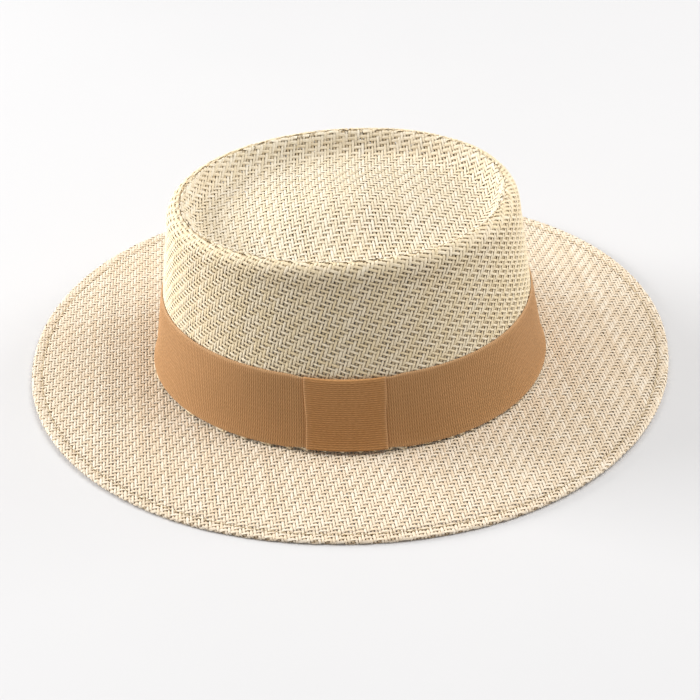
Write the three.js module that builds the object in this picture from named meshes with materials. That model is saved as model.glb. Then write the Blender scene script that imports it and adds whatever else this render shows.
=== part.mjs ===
// A straw hat with a flat oval brim, a telescope crown and a wide ribbon held by a ribbon keeper.
// Millimetres, +Z up. X runs along the head's length, and the keeper is on the -Y side.
// The origin is on the surface the hat stands on, below the middle of the brim.

import * as THREE from 'three';

// Plan of the brim
const BRIM_HALF_LENGTH = 164.2;
const BRIM_HALF_WIDTH = 149.1;
const BRIM_SQUARENESS = 2.08;
const BRIM_EGG = 0.01;
const END_LIFT = 1.5;
const LEVEL_SHARE = 0.42;

// Straw cloth, its turned edge, and the clearance between pieces that touch
const STRAW = 1.5;
const CLEARANCE = 0.3;
const HEM_WIDTH = 5.5;
const HEM_UNDERLAP = 3.0;
const HEM_HEIGHT = 3.0;
const HEM_ROLL_STEPS = 4;

// Ribbon
const RIBBON = 1.0;
const BAND_BOTTOM = 7.6;
const BAND_TOP = 47.4;

// Where brim and crown meet
const BRIM_ROOT_TOP = 5.6;
const CROWN_FOOT = BRIM_ROOT_TOP + CLEARANCE;
const FOOT_FLARE = 2.2;
const FOOT_FLARE_HEIGHT = 4.5;
const COLLAR_GAP = 0.5;
const COLLAR_OFFSET = -(STRAW + COLLAR_GAP);
const COLLAR_ROWS = [BRIM_ROOT_TOP, BAND_BOTTOM, 10, 14];
const BRIM_REACHES = [0.06, 0.35, 0.7, 1];

// Crown: outer half length and half width of the wall at four heights
const CROWN_CENTRE = 0.3;
const CROWN_SQUARENESS = 2.04;
const CROWN_EGG = 0.03;
const WALL_SECTIONS = [
  { height: CROWN_FOOT, length: 99.1, width: 83.4 },
  { height: BAND_TOP, length: 93.5, width: 78.3 },
  { height: 70, length: 91.2, width: 72.2 },
  { height: 91.5, length: 88.9, width: 65.8 },
];
const WALL_ROWS = [CROWN_FOOT, BAND_BOTTOM, 10, 14, 22, 34, BAND_TOP, 60, 76, 91.5];

// Rolled shoulder up to the crest, and how much higher the crest is at the wide end
const SHOULDER_HEIGHT = 11.5;
const SHOULDER_IN_LENGTH = 7.9;
const SHOULDER_IN_WIDTH = 6.5;
const SHOULDER_STEPS = 5;
const CREST_TILT = 2.9;

// Sunken tip: how far in from the crest and how far down, then the dome in the middle
const TIP_FALL = [
  { inset: 1.3, drop: 0.7 },
  { inset: 3.0, drop: 3.0 },
  { inset: 5.0, drop: 6.4 },
  { inset: 7.4, drop: 9.0 },
  { inset: 10.4, drop: 9.6 },
];
const DOME_RISE = 8.0;
const DOME_STEPS = 5;

// Ribbon keeper: a flat loop round the band, which stands off the crown over its back layer
const KEEPER_CENTRE = 3.6;
const KEEPER_WIDTH = 39.4;
const KEEPER_BOTTOM = 7.2;
const KEEPER_TOP = 48.1;
const KEEPER_ROWS = [10, 14, 22, 34];
const KEEPER_COLUMNS = 8;
const PUCKER_MARGIN = 1.6;
const PUCKER_LENGTH = 5;
const PUCKER_STEPS = [0, 0.35, 0.65, 1];
const BAND_STANDOFF = RIBBON + CLEARANCE;

// Rows up the ribbon band, as shares of its height, and steps round each oval
const BAND_ROWS = [0, 0.06, 0.16, 0.36, 0.66, 1];
const SEGMENTS = 60;
const CLOSEST_ANGLES = 0.012;

// Colours and surfaces
const STRAW_LOOK = { color: 0xeadbb8, roughness: 0.8, metalness: 0 };
const RIBBON_LOOK = { color: 0xb98a5c, roughness: 0.85, metalness: 0 };

const lerp = THREE.MathUtils.lerp;
const smoothstep = THREE.MathUtils.smoothstep;

function oval(angle, { length, width, centre, squareness, egg }) {
  const across = Math.cos(angle);
  const along = Math.sin(angle);
  const power = 2 / squareness;
  const x = centre + length * Math.sign(across) * Math.abs(across) ** power;
  const y = width * Math.sign(along) * Math.abs(along) ** power * (1 + egg * across);
  return new THREE.Vector2(x, y);
}

function ovalNormal(angle, shape) {
  const step = 1e-3;
  const ahead = oval(angle + step, shape);
  const behind = oval(angle - step, shape);
  return new THREE.Vector2(ahead.y - behind.y, behind.x - ahead.x).normalize();
}

function offsetOval(angle, shape, offset, height) {
  const point = oval(angle, shape).addScaledVector(ovalNormal(angle, shape), offset);
  return new THREE.Vector3(point.x, point.y, height);
}

function evenAngles() {
  return Array.from({ length: SEGMENTS }, (_, i) => (2 * Math.PI * i) / SEGMENTS);
}

// Shapes of the two main ovals

const brimShape = {
  length: BRIM_HALF_LENGTH,
  width: BRIM_HALF_WIDTH,
  centre: 0,
  squareness: BRIM_SQUARENESS,
  egg: BRIM_EGG,
};

function wallShape(height) {
  const above = WALL_SECTIONS.findIndex((section) => section.height >= height - 1e-9);
  const high = WALL_SECTIONS[Math.max(above, 1)];
  const low = WALL_SECTIONS[Math.max(above, 1) - 1];
  const share = (height - low.height) / (high.height - low.height);
  const flare = FOOT_FLARE * Math.exp(-(height - CROWN_FOOT) / FOOT_FLARE_HEIGHT);
  return {
    length: lerp(low.length, high.length, share) + flare,
    width: lerp(low.width, high.width, share) + flare,
    centre: CROWN_CENTRE,
    squareness: CROWN_SQUARENESS,
    egg: CROWN_EGG,
  };
}

// The brim's edge stays level along both long sides and lifts a little at its two ends
function edgeLift(angle) {
  return END_LIFT * smoothstep(Math.abs(Math.cos(angle)), LEVEL_SHARE, 1);
}

// Closed surfaces from rings of points

function faceOut(geometry) {
  const position = geometry.getAttribute('position');
  const index = geometry.getIndex();
  const [a, b, c] = [new THREE.Vector3(), new THREE.Vector3(), new THREE.Vector3()];
  let volume = 0;
  for (let i = 0; i < index.count; i += 3) {
    a.fromBufferAttribute(position, index.getX(i));
    b.fromBufferAttribute(position, index.getX(i + 1));
    c.fromBufferAttribute(position, index.getX(i + 2));
    volume += a.dot(b.cross(c));
  }
  if (volume < 0) {
    for (let i = 0; i < index.count; i += 3) {
      const swapped = index.getX(i + 1);
      index.setX(i + 1, index.getX(i + 2));
      index.setX(i + 2, swapped);
    }
  }
  geometry.computeVertexNormals();
  return geometry;
}

// Joins each ring to the next. Rings of one point close the two ends, or else the last ring meets the first.
function skin(rings) {
  const positions = rings.flat().flatMap((point) => point.toArray());
  const starts = [];
  let total = 0;
  for (const ring of rings) {
    starts.push(total);
    total += ring.length;
  }
  const indices = [];
  const hasPoles = rings[0].length === 1;
  const bands = hasPoles ? rings.length - 1 : rings.length;
  for (let i = 0; i < bands; i += 1) {
    const next = (i + 1) % rings.length;
    const [lower, upper] = [rings[i], rings[next]];
    const count = Math.max(lower.length, upper.length);
    for (let j = 0; j < count; j += 1) {
      const after = (j + 1) % count;
      if (lower.length > 1) {
        indices.push(starts[i] + j, starts[i] + after, starts[next] + (upper.length > 1 ? after : 0));
      }
      if (upper.length > 1) {
        indices.push(starts[i] + (lower.length > 1 ? j : 0), starts[next] + after, starts[next] + j);
      }
    }
  }
  const geometry = new THREE.BufferGeometry();
  geometry.setAttribute('position', new THREE.Float32BufferAttribute(positions, 3));
  geometry.setIndex(indices);
  return faceOut(geometry);
}

function namedMesh(name, geometry, look) {
  const mesh = new THREE.Mesh(geometry, new THREE.MeshStandardMaterial(look));
  mesh.name = name;
  return mesh;
}

// Crown: one smooth face from the foot over the crest to the middle of the tip, as rows of points

function crownRow(angles, shape, height) {
  const share = Math.max(0, (height - BAND_TOP) / (crestHeight() - BAND_TOP));
  return angles.map((angle) => offsetOval(angle, shape, 0, height + CREST_TILT * share * Math.cos(angle)));
}

function crestHeight() {
  return WALL_SECTIONS.at(-1).height + SHOULDER_HEIGHT;
}

function insetShape(shape, inLength, inWidth) {
  return { ...shape, length: shape.length - inLength, width: shape.width - inWidth };
}

function crownFace(angles) {
  const rows = WALL_ROWS.map((height) => crownRow(angles, wallShape(height), height));
  const shoulder = wallShape(WALL_SECTIONS.at(-1).height);
  for (let i = 1; i <= SHOULDER_STEPS; i += 1) {
    const turn = (Math.PI / 2) * (i / SHOULDER_STEPS);
    const inward = 1 - Math.cos(turn);
    const shape = insetShape(shoulder, SHOULDER_IN_LENGTH * inward, SHOULDER_IN_WIDTH * inward);
    rows.push(crownRow(angles, shape, crestHeight() - SHOULDER_HEIGHT * (1 - Math.sin(turn))));
  }
  const crestRow = rows.length - 1;
  const crest = insetShape(shoulder, SHOULDER_IN_LENGTH, SHOULDER_IN_WIDTH);
  const tilt = (angle) => CREST_TILT * Math.cos(angle);
  for (const { inset, drop } of TIP_FALL) {
    const shape = insetShape(crest, inset, inset);
    rows.push(angles.map((angle) => offsetOval(angle, shape, 0, crestHeight() - drop + tilt(angle))));
  }
  const { inset, drop } = TIP_FALL.at(-1);
  for (let i = 1; i <= DOME_STEPS; i += 1) {
    const reach = 1 - i / DOME_STEPS;
    const shape = insetShape(crest, inset, inset);
    const rise = DOME_RISE * (0.5 + 0.5 * Math.cos(Math.PI * reach));
    const height = crestHeight() - drop + rise;
    const ring = angles.map((angle) => {
      const point = oval(angle, { ...shape, length: shape.length * reach, width: shape.width * reach });
      return new THREE.Vector3(point.x, point.y, height + reach * tilt(angle));
    });
    rows.push(reach > 0 ? ring : [ring[0]]);
  }
  return { rows, crestRow };
}

// The inner face lies one thickness of straw behind the outer one
function behindFace(rows, thickness) {
  return rows.map((row, i) => row.map((point, j) => {
    if (row.length === 1) {
      return point.clone().setZ(point.z - thickness);
    }
    const before = rows[Math.max(i - 1, 0)];
    const after = rows[Math.min(i + 1, rows.length - 1)];
    const up = after[j % after.length].clone().sub(before[j]);
    const round = row[(j + 1) % row.length].clone().sub(row[(j + row.length - 1) % row.length]);
    const normal = round.cross(up).normalize();
    if (i === 0) {
      normal.setZ(0).normalize();
    }
    return point.clone().addScaledVector(normal, -thickness);
  }));
}

function makeCrownSide(face, back, crestRow) {
  const outer = face.slice(0, crestRow + 1);
  const inner = back.slice(0, crestRow + 1);
  return namedMesh('crown_side', skin([...outer, ...inner.reverse()]), STRAW_LOOK);
}

function shiftInward(row) {
  return row.map((point, j) => {
    const round = row[(j + 1) % row.length].clone().sub(row[(j + row.length - 1) % row.length]);
    const outward = new THREE.Vector3(round.y, -round.x, 0).normalize();
    return point.clone().addScaledVector(outward, -CLEARANCE);
  });
}

function makeCrownTip(face, back, crestRow) {
  const outer = [shiftInward(face[crestRow]), ...face.slice(crestRow + 1)];
  const inner = [shiftInward(back[crestRow]), ...back.slice(crestRow + 1)];
  return namedMesh('crown_tip', skin([...outer.reverse(), ...inner]), STRAW_LOOK);
}

// Brim: a flat sheet with a collar turned up inside the crown, and its edge folded into a hem

function wallOffsetRow(angles, offset, height) {
  const shape = wallShape(Math.max(height, CROWN_FOOT));
  return angles.map((angle) => offsetOval(angle, shape, offset, height));
}

function brimRow(angles, reach, below) {
  const root = wallShape(CROWN_FOOT);
  return angles.map((angle) => {
    const inner = offsetOval(angle, root, COLLAR_OFFSET, BRIM_ROOT_TOP);
    const edgeTop = HEM_HEIGHT + edgeLift(angle);
    const outer = offsetOval(angle, brimShape, -(HEM_WIDTH + CLEARANCE), edgeTop);
    const point = inner.lerp(outer, reach);
    return point.setZ(point.z - below);
  });
}

function makeBrim(angles) {
  const collarInner = COLLAR_OFFSET - STRAW;
  const rings = [
    ...COLLAR_ROWS.map((height) => wallOffsetRow(angles, collarInner, height)).reverse(),
    wallOffsetRow(angles, collarInner + STRAW / 2, BRIM_ROOT_TOP - STRAW),
    ...BRIM_REACHES.map((reach) => brimRow(angles, reach, STRAW)),
    ...BRIM_REACHES.map((reach) => brimRow(angles, reach, 0)).reverse(),
    ...COLLAR_ROWS.map((height) => wallOffsetRow(angles, COLLAR_OFFSET, height)),
  ];
  return namedMesh('brim', skin(rings), STRAW_LOOK);
}

function makeBrimHem(angles) {
  const roll = HEM_HEIGHT / 2;
  const ledge = STRAW - CLEARANCE;
  const outline = [{ offset: -HEM_WIDTH, height: HEM_HEIGHT }];
  for (let i = 0; i <= HEM_ROLL_STEPS; i += 1) {
    const turn = (Math.PI * i) / HEM_ROLL_STEPS;
    outline.push({ offset: roll * (Math.sin(turn) - 1), height: roll * (1 + Math.cos(turn)) });
  }
  outline.push({ offset: -(HEM_WIDTH + HEM_UNDERLAP), height: 0 });
  outline.push({ offset: -(HEM_WIDTH + HEM_UNDERLAP), height: ledge });
  outline.push({ offset: -HEM_WIDTH, height: ledge });
  const rings = outline.map(({ offset, height }) => (
    angles.map((angle) => offsetOval(angle, brimShape, offset, height + edgeLift(angle)))
  ));
  return namedMesh('brim_hem', skin(rings), STRAW_LOOK);
}

// Ribbon band: it lies on the wall, and stands off and narrows a little where the keeper holds it

function angleAt(x, height) {
  const { length } = wallShape(height);
  return -Math.acos((x - CROWN_CENTRE) / length);
}

function pucker(angle) {
  const { length } = wallShape(BAND_TOP / 2);
  if (Math.sin(angle) > 0) {
    return 0;
  }
  const distance = Math.abs(CROWN_CENTRE + length * Math.cos(angle) - KEEPER_CENTRE);
  const held = KEEPER_WIDTH / 2 + PUCKER_MARGIN;
  return 1 - smoothstep(distance, held, held + PUCKER_LENGTH);
}

function bandAngles() {
  const held = KEEPER_WIDTH / 2 + PUCKER_MARGIN;
  const marks = PUCKER_STEPS.map((share) => held + share * PUCKER_LENGTH);
  const extra = marks.flatMap((reach) => [KEEPER_CENTRE - reach, KEEPER_CENTRE + reach]);
  const around = (angle) => (angle + 2 * Math.PI) % (2 * Math.PI);
  const close = extra.map((x) => around(angleAt(x, BAND_TOP / 2)));
  const isFree = (angle) => close.every((other) => Math.abs(other - angle) > CLOSEST_ANGLES);
  return [...evenAngles().filter(isFree), ...close].sort((a, b) => a - b);
}

function makeRibbonBand() {
  const angles = bandAngles();
  const edgeIn = KEEPER_BOTTOM + RIBBON + CLEARANCE - BAND_BOTTOM;
  const edgeDown = BAND_TOP - (KEEPER_TOP - RIBBON - CLEARANCE);
  const row = (share, offset) => angles.map((angle) => {
    const held = pucker(angle);
    const low = BAND_BOTTOM + edgeIn * held;
    const high = BAND_TOP - edgeDown * held;
    const height = lerp(low, high, share);
    return offsetOval(angle, wallShape(height), offset + BAND_STANDOFF * held, height);
  });
  const outer = BAND_ROWS.map((share) => row(share, CLEARANCE + RIBBON));
  const inner = BAND_ROWS.map((share) => row(share, CLEARANCE));
  return namedMesh('ribbon_band', skin([...outer, ...inner.reverse()]), RIBBON_LOOK);
}

function makeRibbonKeeper() {
  const back = CLEARANCE;
  const front = back + RIBBON + CLEARANCE + RIBBON + CLEARANCE;
  const outerHeights = [KEEPER_BOTTOM, ...KEEPER_ROWS, KEEPER_TOP];
  const innerHeights = [KEEPER_BOTTOM + RIBBON, ...KEEPER_ROWS, KEEPER_TOP - RIBBON];
  const column = (x, heights, frontOffset, backOffset) => {
    const place = (offset) => (height) => offsetOval(angleAt(x, height), wallShape(height), offset, height);
    return [...heights.map(place(frontOffset)), ...heights.map(place(backOffset)).reverse()];
  };
  const places = Array.from({ length: KEEPER_COLUMNS + 1 }, (_, i) => (
    KEEPER_CENTRE + KEEPER_WIDTH * (i / KEEPER_COLUMNS - 0.5)
  ));
  const outer = places.map((x) => column(x, outerHeights, front + RIBBON, back));
  const inner = places.map((x) => column(x, innerHeights, front, back + RIBBON));
  return namedMesh('ribbon_keeper', skin([...outer, ...inner.reverse()]), RIBBON_LOOK);
}

const hat = new THREE.Group();
const angles = evenAngles();
const { rows, crestRow } = crownFace(angles);
const backRows = behindFace(rows, STRAW);
hat.add(makeCrownSide(rows, backRows, crestRow));
hat.add(makeCrownTip(rows, backRows, crestRow));
hat.add(makeBrim(angles));
hat.add(makeBrimHem(angles));
hat.add(makeRibbonBand());
hat.add(makeRibbonKeeper());

export default hat;
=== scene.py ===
import math

import bpy
import numpy as np
from mathutils import Matrix, Vector


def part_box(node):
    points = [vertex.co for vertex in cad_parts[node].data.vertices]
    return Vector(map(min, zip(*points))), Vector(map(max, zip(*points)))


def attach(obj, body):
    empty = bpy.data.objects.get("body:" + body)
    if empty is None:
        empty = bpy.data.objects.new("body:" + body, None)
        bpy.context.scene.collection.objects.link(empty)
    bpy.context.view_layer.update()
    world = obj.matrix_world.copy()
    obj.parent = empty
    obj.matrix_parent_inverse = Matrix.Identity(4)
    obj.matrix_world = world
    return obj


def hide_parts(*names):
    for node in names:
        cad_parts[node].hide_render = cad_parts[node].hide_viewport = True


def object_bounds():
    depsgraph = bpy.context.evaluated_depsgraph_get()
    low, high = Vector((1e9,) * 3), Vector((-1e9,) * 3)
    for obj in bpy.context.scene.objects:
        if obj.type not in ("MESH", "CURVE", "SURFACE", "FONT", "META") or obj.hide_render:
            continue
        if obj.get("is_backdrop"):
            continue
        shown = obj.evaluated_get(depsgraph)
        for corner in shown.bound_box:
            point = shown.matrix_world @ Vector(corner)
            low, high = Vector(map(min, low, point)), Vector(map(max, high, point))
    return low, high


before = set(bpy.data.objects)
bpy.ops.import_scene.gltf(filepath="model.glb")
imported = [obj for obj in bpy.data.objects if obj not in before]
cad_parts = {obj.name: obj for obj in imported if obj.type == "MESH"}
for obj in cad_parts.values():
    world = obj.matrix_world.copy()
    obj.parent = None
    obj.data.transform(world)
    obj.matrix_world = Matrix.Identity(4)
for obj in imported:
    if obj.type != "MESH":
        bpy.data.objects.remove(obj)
cad_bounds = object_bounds()

# Sizes are in millimetres, as in the part's source, and meshes are scaled to metres when they are made
MM = 0.001
RANDOM = np.random.default_rng(26)

hem_low, hem_high = (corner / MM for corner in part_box("brim_hem"))
side_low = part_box("crown_side")[0] / MM
band_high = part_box("ribbon_band")[1] / MM

# Crown wall: outer half length and half width at four heights
CROWN_FOOT = side_low.z
BAND_TOP = band_high.z
WALL_HEIGHTS = [CROWN_FOOT, BAND_TOP, 70.0, 91.5]
WALL_LENGTHS = [99.1, 93.5, 91.2, 88.9]
WALL_WIDTHS = [83.4, 78.3, 72.2, 65.8]
FOOT_FLARE = 2.2
FOOT_FLARE_HEIGHT = 4.5
CROWN_CENTRE = 0.3
CROWN_SQUARENESS = 2.04
CROWN_EGG = 0.03

# Rolled shoulder and crest
SHOULDER_HEIGHT = 11.5
SHOULDER_IN_LENGTH = 7.9
SHOULDER_IN_WIDTH = 6.5
CREST_TILT = 2.9
CREST_HEIGHT = WALL_HEIGHTS[-1] + SHOULDER_HEIGHT

# Sunken tip, from the crest inward
TIP_INSETS = [0.0, 1.3, 3.0, 5.0, 7.4, 10.4]
TIP_DROPS = [0.0, 0.7, 3.0, 6.4, 9.0, 9.6]
DOME_RISE = 8.0

# Brim, its turned edge, and the collar that it turns up inside the crown
BRIM_SQUARENESS = 2.08
BRIM_EGG = 0.01
BRIM_ROOT = 5.15
BRIM_TOP = 2.1
HEM_BOTTOM = 0.43
HEM_ROLL = (BRIM_TOP - HEM_BOTTOM) / 2
HEM_WIDTH = 5.5
HEM_TURNED = 8.5
END_LIFT = 1.5
LEVEL_SHARE = 0.42
COLLAR_OFFSET = -2.45
COLLAR_ROLL = 0.9
COLLAR_TOP = 14.0

# Straw cloth: how deep its middle lies behind the part's face, and how its cut edges are turned in
STRAW_MIDDLE = 0.45
LIP_ROLL = 0.5
LIP_GAP = 0.85
SEAM_ALLOWANCE = 6.0

# The cloth is a two-by-two twill. In each table the first row is for its strands and the second for its
# cross strands: factors of x, y, xx, xy and yy, in millimetres of flat cloth, that add up to the number of
# the strand that passes there. They were fitted to the weave in the photo
BRIM_LINES = (
    (0.6241, 0.1141, -3.5e-6, 4.2e-4, -2.1e-5),
    (0.1030, -0.4405, 1.6e-5, 2.8e-5, -1.8e-4),
)
TIP_LINES = (
    (0.6084, 0.0892, -1.5e-4, 1.37e-4, -5.65e-4),
    (0.0587, -0.3693, -7.06e-4, -9.2e-5, -1.35e-4),
)
SIDE_LINES = ((0.5580, -0.1429, 0, 0, 0), (-0.1116, -0.4286, 0, 0, 0))
TWILL_REPEAT = 4

# Shares of the cloth that strands and cross strands cover, their section, and how unevenly they lie
STRAND_COVER = 0.82
CROSS_COVER = 0.63
STRAND_RIDGE = 0.2
STRAND_SOLE = 0.15
WEAVE_RISE = 0.22
WIDTH_SPREAD = 0.12
LINE_JITTER = 0.03
FLOAT_SWAY = 0.05
LINE_WANDER = 0.12
WANDER_STRANDS = 9

# How strongly painted shade darkens the gaps between strands, less where the cloth is doubled
SIDE_GAPS = 1.0
TIP_GAPS = 0.88
BRIM_GAPS = 0.87
DOUBLED_GAPS = 0.72
GROOVE_GAPS = 1.12

# The side is cut as a curved strip: its radius at the top of the band, and the angle round the crown of its
# middle, which lies near the front
STRIP_RADIUS = 444.0
STRIP_MIDDLE = math.radians(-93)

# Ribbon
RIBBON = 0.5
RIBBON_CLEARANCE = 0.12
SELVAGE = 0.06
SELVAGE_WIDTH = 0.9
RIB_PITCH = 1.2
RIB_HEIGHT = 0.09
STEPS_PER_RIB = 4
THREAD_REPEAT = 2.1

# Band: its rows are shares of its height
BAND_BOTTOM = 6.9
BAND_ROWS = [0, 0.012, 0.03, 0.09, 0.2, 0.36, 0.5, 0.64, 0.8, 0.91, 0.97, 0.988, 1]
BAND_STANDOFF = 0.7
BAND_WAVE = 0.3
BAND_WAVES = 26
CUT_EDGE_SHARE = 0.008
CUT_EDGE_THINNING = 0.8
PUCKER_MARGIN = 1.6
PUCKER_LENGTH = 9.0
PUCKER_IN = 0.6
KEEPER_LIFT = 1.1

# Keeper: its columns are shares of its width
KEEPER_CENTRE = 3.6
KEEPER_WIDTH = 39.4
KEEPER_BOTTOM = 7.8
KEEPER_TOP = 47.1
KEEPER_FRONT = 2.0
KEEPER_SAG = 0.55
KEEPER_SAG_HEIGHT = 12.0
KEEPER_BELLY = 0.25
KEEPER_EDGE_WAVE = 0.25
KEEPER_EDGE_WAVE_LENGTH = 5.2
KEEPER_LEFT_COLUMNS = [0, 0.012, 0.03, 0.08, 0.16, 0.25, 0.34, 0.42]
KEEPER_COLUMNS = KEEPER_LEFT_COLUMNS + [0.5] + [1 - share for share in reversed(KEEPER_LEFT_COLUMNS)]

# Thread
STITCH_PITCH = 3.3
STITCH_LENGTH = 2.5
STITCH_HALF_WIDTH = 0.3
STITCH_HALF_HEIGHT = 0.2
STITCH_ABOVE_BRIM = 0.18
STITCH_GROOVE = 0.25
STITCH_GROOVE_WIDTH = 1.0

# Length of a row of strands on the map that finishes are laid out on
MAP_ROW = 560.0


def smoothstep(value, low, high):
    share = np.clip((value - low) / (high - low), 0, 1)
    return share * share * (3 - 2 * share)


def folded(past, radius, most=math.pi):
    """How far on and how far behind cloth lies, at a distance past the start of a fold in it."""
    turn = np.clip(past / radius, 0, most)
    left = np.maximum(past - most * radius, 0)
    on = np.minimum(past, 0) + radius * np.sin(turn) + left * math.cos(most)
    behind = radius * (1 - np.cos(turn)) + left * math.sin(most)
    return on, behind


# Ovals

class Oval:
    """An egg-shaped oval about the hat's long axis, in millimetres."""

    def __init__(self, length, width, squareness, egg, centre=0.0):
        self.length = length
        self.width = width
        self.squareness = squareness
        self.egg = egg
        self.centre = centre

    def inset(self, in_length, in_width):
        return Oval(self.length - in_length, self.width - in_width, self.squareness, self.egg, self.centre)

    def point(self, angle):
        across, along = np.cos(angle), np.sin(angle)
        power = 2 / self.squareness
        x = self.centre + self.length * np.sign(across) * np.abs(across) ** power
        y = self.width * np.sign(along) * np.abs(along) ** power * (1 + self.egg * across)
        return x, y

    def outside(self, angle, offset, step=1e-3):
        """A point at an offset outside the oval."""
        x, y = self.point(angle)
        ahead_x, ahead_y = self.point(angle + step)
        behind_x, behind_y = self.point(angle - step)
        out_x, out_y = ahead_y - behind_y, behind_x - ahead_x
        size = np.hypot(out_x, out_y)
        return x + offset * out_x / size, y + offset * out_y / size

    def lean(self, x):
        """The cosine of the angle at which the oval reaches x."""
        across = np.clip((x - self.centre) / self.length, -1.2, 1.2)
        return np.sign(across) * np.abs(across) ** (self.squareness / 2)

    def level(self, x, y):
        """1 on the oval, less inside it and more outside."""
        across = np.abs((x - self.centre) / self.length)
        along = np.abs(y) / (self.width * (1 + self.egg * self.lean(x)))
        return (across ** self.squareness + along ** self.squareness) ** (1 / self.squareness)

    def foot(self, x, y, steps=4, reach=0.01):
        """The oval's nearest point, the way out there, and how deep inside the oval x, y lies."""
        px, py = np.array(x, float), np.array(y, float)
        for _ in range(steps):
            level = self.level(px, py)
            slope_x = (self.level(px + reach, py) - level) / reach
            slope_y = (self.level(px, py + reach) - level) / reach
            steep = np.maximum(slope_x ** 2 + slope_y ** 2, 1e-9)
            px = px + (1 - level) * slope_x / steep
            py = py + (1 - level) * slope_y / steep
        size = np.sqrt(steep)
        out_x, out_y = slope_x / size, slope_y / size
        depth = (px - x) * out_x + (py - y) * out_y
        return px, py, out_x, out_y, depth

    def even_angles(self, count):
        """Angles at which the oval's points are evenly spaced."""
        angle = np.linspace(0, 2 * math.pi, 4001)
        run = self.run_along(angle)
        return np.interp(np.arange(count) / count * run[-1], run, angle)

    def run_along(self, angle):
        """The length of the oval from the first angle to each other."""
        x, y = self.point(angle)
        return np.concatenate([[0], np.cumsum(np.hypot(np.diff(x), np.diff(y)))])


def wall_oval(height):
    flare = FOOT_FLARE * np.exp(-(height - CROWN_FOOT) / FOOT_FLARE_HEIGHT)
    length = np.interp(height, WALL_HEIGHTS, WALL_LENGTHS) + flare
    width = np.interp(height, WALL_HEIGHTS, WALL_WIDTHS) + flare
    return Oval(length, width, CROWN_SQUARENESS, CROWN_EGG, CROWN_CENTRE)


brim_edge = Oval(
    (hem_high.x - hem_low.x) / 2, (hem_high.y - hem_low.y) / 2, BRIM_SQUARENESS, BRIM_EGG
)
shoulder_oval = wall_oval(WALL_HEIGHTS[-1])
crest_oval = shoulder_oval.inset(SHOULDER_IN_LENGTH, SHOULDER_IN_WIDTH)
collar_oval = wall_oval(CROWN_FOOT).inset(-COLLAR_OFFSET, -COLLAR_OFFSET)


# Shader node groups: effects that more than one material uses

def new_group(name, inputs, outputs):
    """A node group with named number sockets, its nodes and links, and the sockets inside it."""
    group = bpy.data.node_groups.new(name, "ShaderNodeTree")
    for label, value in inputs.items():
        socket = group.interface.new_socket(label, in_out="INPUT", socket_type="NodeSocketFloat")
        socket.default_value = value
    for label in outputs:
        group.interface.new_socket(label, in_out="OUTPUT", socket_type="NodeSocketFloat")
    start = group.nodes.new("NodeGroupInput")
    end = group.nodes.new("NodeGroupOutput")
    return group, start.outputs, end.inputs


def maths(tree, operation, first, second=None):
    """The result of a Math node on two values, each a socket or a number."""
    node = tree.nodes.new("ShaderNodeMath")
    node.operation = operation
    for socket, value in zip(node.inputs, (first, second)):
        if isinstance(value, (int, float)):
            socket.default_value = value
        elif value is not None:
            tree.links.new(value, socket)
    return node.outputs["Value"]


def spread(tree, value, low, high):
    """A value from low to high, spread smoothly over 0 to 1."""
    node = tree.nodes.new("ShaderNodeMapRange")
    node.interpolation_type = "SMOOTHSTEP"
    node.inputs["From Min"].default_value = low
    node.inputs["From Max"].default_value = high
    tree.links.new(value, node.inputs["Value"])
    return node.outputs["Result"]


def make_mottling():
    """Slow stains and fading over a surface, in patches of a size in metres."""
    group, given, wanted = new_group("slow mottling", {"Patch": 0.03, "Seed": 0.0}, ["Mask"])
    place = group.nodes.new("ShaderNodeTexCoord")
    noise = group.nodes.new("ShaderNodeTexNoise")
    noise.noise_dimensions = "4D"
    noise.inputs["Detail"].default_value = 4
    group.links.new(place.outputs["Object"], noise.inputs["Vector"])
    group.links.new(maths(group, "DIVIDE", 1.0, given["Patch"]), noise.inputs["Scale"])
    group.links.new(given["Seed"], noise.inputs["W"])
    group.links.new(spread(group, noise.outputs["Fac"], 0.34, 0.66), wanted["Mask"])
    return group


def make_fibres():
    """Streaks along a strand or a thread, from how far along it is, how far across, and which one it is."""
    inputs = {"Run": 0.0, "Across": 0.0, "Strand": 0.0, "Length": 6.0}
    group, given, wanted = new_group("fibres along a strand", inputs, ["Mask", "Height"])
    vector = group.nodes.new("ShaderNodeCombineXYZ")
    group.links.new(maths(group, "DIVIDE", given["Run"], given["Length"]), vector.inputs["X"])
    group.links.new(maths(group, "MULTIPLY", given["Across"], 2.5), vector.inputs["Y"])
    group.links.new(maths(group, "MULTIPLY", given["Strand"], 90.0), vector.inputs["Z"])
    noise = group.nodes.new("ShaderNodeTexNoise")
    noise.inputs["Scale"].default_value = 1.0
    noise.inputs["Detail"].default_value = 5
    noise.inputs["Roughness"].default_value = 0.65
    group.links.new(vector.outputs["Vector"], noise.inputs["Vector"])
    group.links.new(spread(group, noise.outputs["Fac"], 0.36, 0.64), wanted["Mask"])
    group.links.new(noise.outputs["Fac"], wanted["Height"])
    return group


mottling = make_mottling()
fibres = make_fibres()


# Materials

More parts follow.
